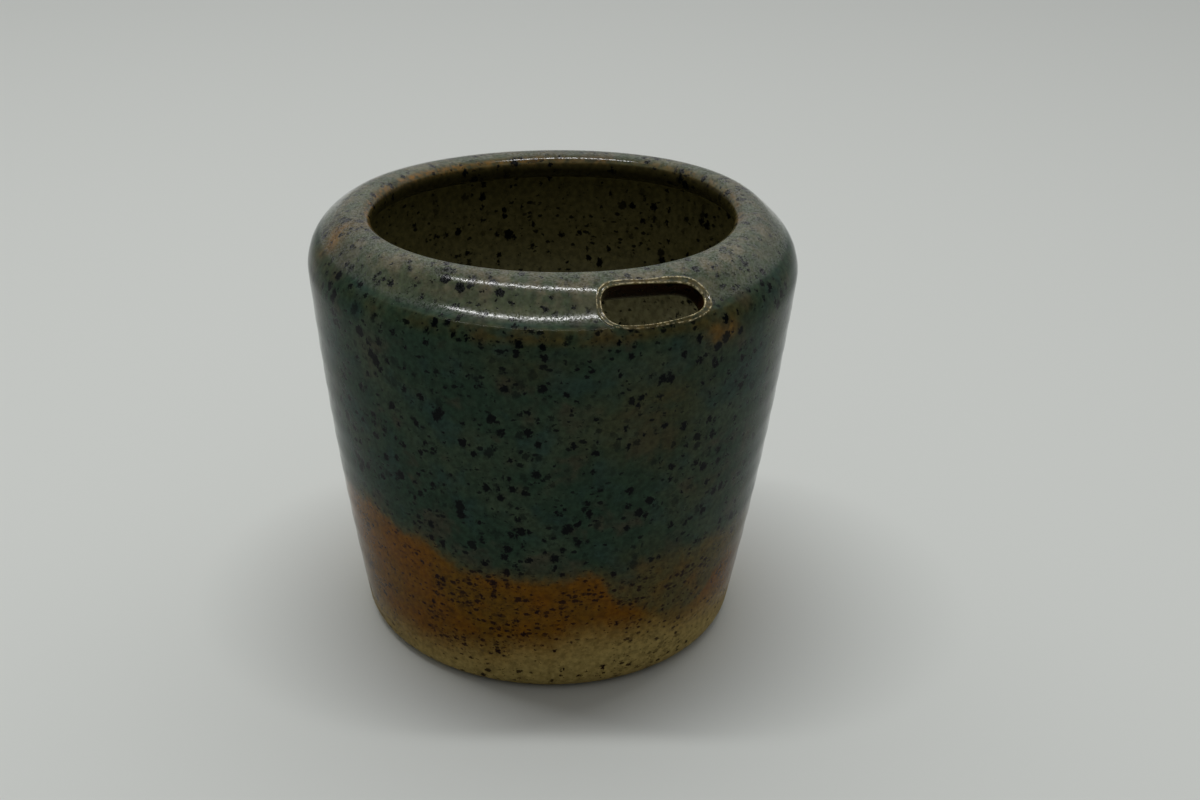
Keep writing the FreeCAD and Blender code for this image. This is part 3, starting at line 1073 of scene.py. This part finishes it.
def sprinkled_specks(w, place, on_green, amber_mask):
    """Masks of the specks, and of the halo round the coarse ones.

    They are coarse in the green and inside, small and close in the amber, and few on the rim.
    """
    specks = iron_specks()
    tall = w.vector("MULTIPLY", place, COARSE_STRETCH)
    squat = w.vector("MULTIPLY", place, SMALL_STRETCH)
    green_share = w.ease(w.mark("inside"), 0.0, 1.0, 0.95, 0.65)
    coarse = w.group(specks, {
        **COARSE_SPECKS, "Place": tall, "Largest": w.ease(on_green, 0.0, 1.0, 0.66, 1.0),
        "Share": w.ease(on_green, 0.0, 1.0, 0.4, green_share),
    })
    foot_share = w.ease(amber_mask, 0.0, 1.0, 0.4, 1.0)
    small_share = w.ease(on_green, 0.0, 1.0, foot_share, 0.28)
    small = w.group(specks, {**SMALL_SPECKS, "Place": squat, "Share": small_share})
    dust_share = w.ease(on_green, 0.0, 1.0, 0.6, 0.15)
    dust = w.group(specks, {**DUST_SPECKS, "Place": squat, "Share": dust_share})
    speck = w.math("MAXIMUM", coarse["Speck"], w.times(small["Speck"], 0.9))
    speck = w.math("MAXIMUM", speck, w.times(dust["Speck"], 0.7))
    return w.times(speck, w.ease(w.mark("slot_rim"), 0.2, 1.0, 1.0, 0.25)), coarse["Halo"]


def glaze_material(colours):
    """The fired surface: green over amber over buff outside, olive inside, iron specks all over,
    with painted shade inside the lip and in the slot's cut, and a painted highlight on the slot's
    rim.

    Almost all of the coat is on the shoulder, and broken into sparkles, so that the lamp shows
    there as two streaks.
    """
    material = bpy.data.materials.new(SLOT_NAME)
    material.use_nodes = True
    tree = material.node_tree
    tree.nodes.clear()
    w = Wiring(tree)
    paint = {name: (*getattr(colours, name), 1.0) for name in GlazeColours.__annotations__}
    place = w.vector("SCALE", w.add("ShaderNodeTexCoord").outputs["Object"], 1 / MM)
    cloud = w.noise(place, CLOUD_SIZE, 3.0)
    patch = w.noise(w.vector("ADD", place, PATCH_MOVE), PATCH_SIZE, 3.0)
    mottle = w.noise(place, MOTTLE_SIZE, 3.0)
    fine = w.noise(place, FINE_SIZE, 3.0)

    low, amber_mask, green_mask = foot_glaze(w, paint, place, cloud, mottle)
    outer = w.mix(green_mask, low, green_glaze(w, paint, cloud, patch, mottle))
    base = inside_and_edges(w, paint, place, outer, mottle, fine)
    on_green = w.math("MAXIMUM", green_mask, w.mark("inside"))
    speck, halo = sprinkled_specks(w, place, on_green, amber_mask)
    ink = w.mix(on_green, paint["maroon"], paint["blue_black"])
    base = w.mix(w.times(halo, 0.15), base, ink)
    base = w.mix(w.times(speck, 0.98), base, ink)

    glazed = w.times(w.math("MAXIMUM", amber_mask, on_green), w.rest(w.mark("underside")))
    rough = w.ease(glazed, 0.0, 1.0, 0.5, 0.09)
    rough = w.math("ADD", rough, w.times(w.math("SUBTRACT", cloud, 0.5), 0.06))
    rough = w.math("ADD", rough, w.times(speck, 0.08))
    height = w.group(glaze_relief(), {"Place": place, "Grain": 1.0})["Height"]
    height = w.math("SUBTRACT", height, w.times(speck, PIT_DEPTH))
    bump = w.add("ShaderNodeBump", {"Height": height, "Distance": MM, "Strength": 1.0})
    sparkle = w.ease(w.noise(place, SPARKLE_GRAIN, 1.0), 0.38, 0.62, 0.1, 2.0)
    coat = w.times(w.ease(w.mark("shoulder"), 0.0, 0.5, 0.01, 0.45), glazed, sparkle)
    shader = w.add("ShaderNodeBsdfPrincipled", {
        "Base Color": base, "Roughness": rough, "Normal": bump.outputs[0],
        "Specular IOR Level": 0.05, "Coat Weight": coat, "Coat Roughness": 0.16,
    })
    w.add("ShaderNodeOutputMaterial", {"Surface": shader.outputs[0]})
    return material


class TUMBLER_OT_throw_pot(bpy.types.Operator):
    """Builds the thrown pot with its lip, shoulder and drinking slot, and glazes it"""

    bl_idname = "tumbler.throw_pot"
    bl_label = "Throw and glaze the pot"

    def execute(self, context):
        scene = context.scene
        parts = build_pot(scene.tumbler_shape, scene.tumbler_slot, scene.tumbler_marks)
        places, quads, triangles, values = parts
        pot = new_mesh("glazed_pot", places, quads, triangles)
        for name, value in values.items():
            layer = pot.data.attributes.new(name, "FLOAT", "POINT")
            layer.data.foreach_set("value", value.astype(np.float32))
        pot.data.materials.append(glaze_material(scene.tumbler_colours))
        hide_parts(NODE)
        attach(pot, "root")
        return {"FINISHED"}


# The photograph's view: the lens, where it stands, and how it is held
LENS = 48.0
SENSOR = 36.0
EYE = (0.28 * MM, -296.67 * MM, 200.45 * MM)
LOOK_DOWN = 0.481
LOOK_RIGHT = 0.033
HEAD_TILT = 0.031

# The paper under the pot, and where it fades into the far paper, in metres from the pot
FLOOR_HALF = 4.0
PAPER_ROUGHNESS = 0.9
PAPER_FADE = (0.7, 2.2)
BLACK = (0.0, 0.0, 0.0, 1.0)
HALF_WHITE = (0.5, 0.5, 0.5, 1.0)
WHITE = (1.0, 1.0, 1.0, 1.0)

# The lamp: its size, and its place as the photograph sees it, in metres
LAMP_LENGTH = 0.74
LAMP_WIDTH = 0.052
LAMP_HEIGHT = 1.0
LAMP_BEHIND = 0.02
LAMP_LEFT = 0.09

# Where the room turns dim on the camera's side, as the cosine of the angle from that side, and
# where it grows bright above the horizon, as a share of the way straight up
ROOM_DIMS = (-0.7, 0.15)
ROOM_RISES = (0.1, 0.8)


def photo_side(x, y, z):
    """A place given as the photograph sees it, turned into the pot's own frame."""
    return Matrix.Rotation(-PHOTO_TURN, 4, "Z") @ Matrix.Translation((x, y, z))


def place_camera(scene):
    """Puts the camera where the photograph was taken from."""
    camera = bpy.data.cameras.new("photo_camera")
    camera.lens = LENS
    camera.sensor_width = SENSOR
    camera.clip_start = 10 * MM
    thing = bpy.data.objects.new("photo_camera", camera)
    scene.collection.objects.link(thing)
    turn = Matrix.Rotation(-LOOK_RIGHT, 4, "Z") @ Matrix.Rotation(math.pi / 2 - LOOK_DOWN, 4, "X")
    thing.matrix_world = photo_side(*EYE) @ turn @ Matrix.Rotation(HEAD_TILT, 4, "Z")
    scene.camera = thing


def lay_floor(look):
    """A wide sheet of pale paper, level with the foot, that stays pale to the eye far off."""
    corners = FLOOR_HALF * np.array([[-1, -1, 0], [1, -1, 0], [1, 1, 0], [-1, 1, 0]], float)
    floor = new_mesh("paper_floor", corners, np.array([[0, 1, 2, 3]]), np.zeros((0, 3), int))
    material = bpy.data.materials.new("pale_paper")
    material.use_nodes = True
    w = Wiring(material.node_tree)
    place = w.add("ShaderNodeTexCoord").outputs["Object"]
    far_off = w.add("ShaderNodeVectorMath", {0: place}, operation="LENGTH").outputs["Value"]
    seen = w.add("ShaderNodeLightPath").outputs["Is Camera Ray"]
    shader = material.node_tree.nodes["Principled BSDF"]
    shader.inputs["Base Color"].default_value = (*look.floor, 1.0)
    shader.inputs["Roughness"].default_value = PAPER_ROUGHNESS
    shader.inputs["Emission Strength"].default_value = look.backdrop
    far_off = w.times(w.ease(far_off, *PAPER_FADE), seen)
    w.fill(shader.inputs["Emission Color"], w.mix(far_off, BLACK, HALF_WHITE))
    floor.data.materials.append(material)


def hang_lamp(scene, look):
    """A long soft lamp above the pot, level and square to the view."""
    lamp = bpy.data.lights.new("overhead_lamp", "AREA")
    lamp.shape = "RECTANGLE"
    lamp.size = LAMP_LENGTH
    lamp.size_y = LAMP_WIDTH
    lamp.energy = look.overhead_power
    thing = bpy.data.objects.new("overhead_lamp", lamp)
    scene.collection.objects.link(thing)
    thing.matrix_world = photo_side(-LAMP_LEFT, LAMP_BEHIND, LAMP_HEIGHT)


def light_room(scene, look):
    """A pale room that is dimmer on the side that the photograph was taken from."""
    world = bpy.data.worlds.new("pale_room")
    world.use_nodes = True
    w = Wiring(world.node_tree)
    background = world.node_tree.nodes["Background"]
    toward = (math.sin(-PHOTO_TURN), -math.cos(PHOTO_TURN), 0.0)
    place = w.add("ShaderNodeTexCoord").outputs["Generated"]
    facing = w.add("ShaderNodeVectorMath", {0: place, 1: toward}, operation="DOT_PRODUCT")
    level = w.ease(facing.outputs["Value"], *ROOM_DIMS, look.sky, look.front_shade)
    rise = w.add("ShaderNodeSeparateXYZ", {0: place}).outputs["Z"]
    level = w.times(level, w.ease(rise, *ROOM_RISES, look.low_sky, 1.0))
    seen = w.add("ShaderNodeLightPath").outputs["Is Camera Ray"]
    w.fill(background.inputs["Strength"], w.ease(seen, 0.0, 1.0, level, look.backdrop))
    background.inputs["Color"].default_value = WHITE
    scene.world = world


class TUMBLER_OT_set_stage(bpy.types.Operator):
    """Lays the paper floor, hangs the lamp, lights the room and places the camera"""

    bl_idname = "tumbler.set_stage"
    bl_label = "Set the stage"

    def execute(self, context):
        scene = context.scene
        look = scene.tumbler_stage
        place_camera(scene)
        lay_floor(look)
        hang_lamp(scene, look)
        light_room(scene, look)
        scene.view_settings.view_transform = "Standard"
        return {"FINISHED"}


class TUMBLER_PT_panel(bpy.types.Panel):
    """Lists the sizes and colours of the tumbler and the steps that build it"""

    bl_idname = "TUMBLER_PT_panel"
    bl_label = "Travel tumbler"
    bl_space_type = "VIEW_3D"
    bl_region_type = "UI"
    bl_category = "Tumbler"

    def draw(self, context):
        for name, group in GROUPS.items():
            box = self.layout.box()
            for field in group.__annotations__:
                box.prop(getattr(context.scene, name), field)
        for step in STEPS:
            self.layout.operator(step.bl_idname)


GROUPS = {
    "tumbler_shape": TumblerShape,
    "tumbler_slot": SlotShape,
    "tumbler_marks": HandMarks,
    "tumbler_colours": GlazeColours,
    "tumbler_stage": StageLook,
}
STEPS = (TUMBLER_OT_throw_pot, TUMBLER_OT_set_stage)


def register():
    """Makes the sizes, colours, steps and panel known, and adds the sizes to the scene."""
    for kind in (*GROUPS.values(), *STEPS, TUMBLER_PT_panel):
        bpy.utils.register_class(kind)
    for name, group in GROUPS.items():
        setattr(bpy.types.Scene, name, bpy.props.PointerProperty(type=group))


def unregister():
    """Takes away all that register adds."""
    for name in GROUPS:
        delattr(bpy.types.Scene, name)
    for kind in (TUMBLER_PT_panel, *STEPS, *GROUPS.values()):
        bpy.utils.unregister_class(kind)


def main():
    """Builds the tumbler and its stage."""
    register()
    bpy.ops.tumbler.throw_pot()
    bpy.ops.tumbler.set_stage()


if __name__ == "__main__":
    main()
